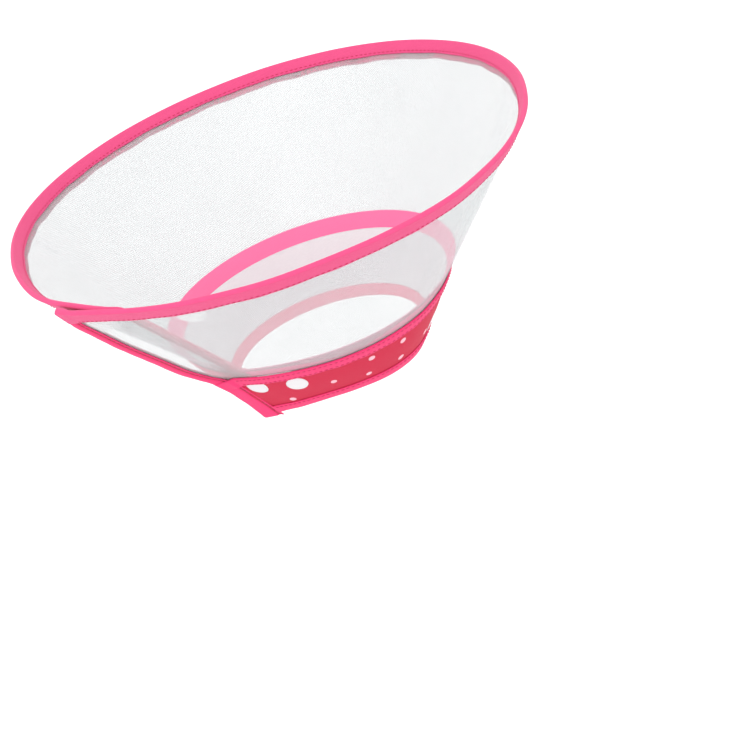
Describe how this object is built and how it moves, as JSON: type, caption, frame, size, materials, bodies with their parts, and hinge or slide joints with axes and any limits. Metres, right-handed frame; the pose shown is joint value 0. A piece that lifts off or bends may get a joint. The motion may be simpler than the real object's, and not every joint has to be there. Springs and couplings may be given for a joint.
{
  "type": "pet recovery collar",
  "caption": "Soft recovery cone for a small pet: bound translucent film, polka-dot fabric neckband and a wrap-over flap that opens",
  "frame": {"origin": "centre of the neck opening, on the plane that the neck edge stands on", "axes": "+Z along the cone's axis toward the wide mouth; +X to the wearer's-side right as seen from the flap; -Y is the side that the flap wraps over"},
  "size_m": [0.2812, 0.2839, 0.1154],
  "materials": {
    "film": "milky translucent film with fine embossed ribs",
    "edge_tape": "pink woven bias tape, folded and stitched",
    "band_tape": "pink woven bias tape, folded and stitched",
    "inner_tape": "pink woven tape",
    "neck_fabric": "rose-red knit with white printed dots",
    "neck_lining": "pale padded plush",
    "hook": "white translucent hook fastener",
    "loop": "white loop fastener"
  },
  "bodies": {
    "tab_panel": {"tab_film": "film", "tab_rim_tape": "edge_tape", "tab_neck_fabric": "neck_fabric", "tab_neck_top_tape": "band_tape", "tab_neck_bottom_tape": "band_tape", "tab_end_tape": "edge_tape", "neck_hook_strip": "hook", "hook_disc_end": "hook", "hook_disc_second": "hook"},
    "front_panel": {"front_film": "film", "front_rim_tape": "edge_tape", "front_neck_fabric": "neck_fabric", "front_neck_top_tape": "band_tape", "front_neck_bottom_tape": "band_tape", "front_neck_lining": "neck_lining", "front_neck_inner_tape": "inner_tape"},
    "right_front_panel": {"right_front_film": "film", "right_front_rim_tape": "edge_tape", "right_front_neck_fabric": "neck_fabric", "right_front_neck_top_tape": "band_tape", "right_front_neck_bottom_tape": "band_tape", "right_front_neck_lining": "neck_lining", "right_front_neck_inner_tape": "inner_tape"},
    "right_rear_panel": {"right_rear_film": "film", "right_rear_rim_tape": "edge_tape", "right_rear_neck_fabric": "neck_fabric", "right_rear_neck_top_tape": "band_tape", "right_rear_neck_bottom_tape": "band_tape", "right_rear_neck_lining": "neck_lining", "right_rear_neck_inner_tape": "inner_tape"},
    "back_panel": {"back_film": "film", "back_rim_tape": "edge_tape", "back_neck_fabric": "neck_fabric", "back_neck_top_tape": "band_tape", "back_neck_bottom_tape": "band_tape", "back_neck_lining": "neck_lining", "back_neck_inner_tape": "inner_tape"},
    "left_rear_panel": {"left_rear_film": "film", "left_rear_rim_tape": "edge_tape", "left_rear_neck_fabric": "neck_fabric", "left_rear_neck_top_tape": "band_tape", "left_rear_neck_bottom_tape": "band_tape", "left_rear_neck_lining": "neck_lining", "left_rear_neck_inner_tape": "inner_tape", "loop_disc_rear": "loop"},
    "left_panel": {"left_film": "film", "left_rim_tape": "edge_tape", "left_neck_fabric": "neck_fabric", "left_neck_top_tape": "band_tape", "left_neck_bottom_tape": "band_tape", "left_neck_lining": "neck_lining", "left_neck_inner_tape": "inner_tape", "left_end_tape": "edge_tape", "neck_loop_strip": "loop", "loop_disc_mated": "loop", "loop_disc_middle": "loop"}
  },
  "joints": [
    {"name": "collar_open", "type": "hinge", "parent": "back_panel", "child": "right_rear_panel", "pos_m": [0.0234, 0.05017, 0], "axis": [0.2542, 0.5451, 0.7989], "range_deg": [0, 30]},
    {"name": "fold_right", "type": "hinge", "parent": "right_rear_panel", "child": "right_front_panel", "pos_m": [0.05515, 0.00483, 0], "axis": [0.5991, 0.0524, 0.7989], "range_deg": [0, 36]},
    {"name": "fold_front", "type": "hinge", "parent": "right_front_panel", "child": "front_panel", "pos_m": [0.0307, -0.04761, 0], "axis": [0.345, -0.4926, 0.7989], "range_deg": [0, 39]},
    {"name": "tab_peel", "type": "hinge", "parent": "front_panel", "child": "tab_panel", "pos_m": [-0.02037, -0.05525, 0], "axis": [-0.1858, -0.572, 0.7989], "range_deg": [0, 100]},
    {"name": "fold_left_rear", "type": "hinge", "parent": "back_panel", "child": "left_rear_panel", "pos_m": [-0.03175, 0.04535, 0], "axis": [0.345, -0.4926, -0.7989], "range_deg": [0, 27]},
    {"name": "fold_left", "type": "hinge", "parent": "left_rear_panel", "child": "left_panel", "pos_m": [-0.05529, -0.0029, 0], "axis": [0.6006, 0.0315, -0.7989], "range_deg": [0, 24]}
  ],
  "couplings": [
    {"joint": "fold_right", "follows": "collar_open", "ratio": 1.2},
    {"joint": "fold_front", "follows": "collar_open", "ratio": 1.3},
    {"joint": "fold_left_rear", "follows": "collar_open", "ratio": 0.9},
    {"joint": "fold_left", "follows": "collar_open", "ratio": 0.8}
  ]
}
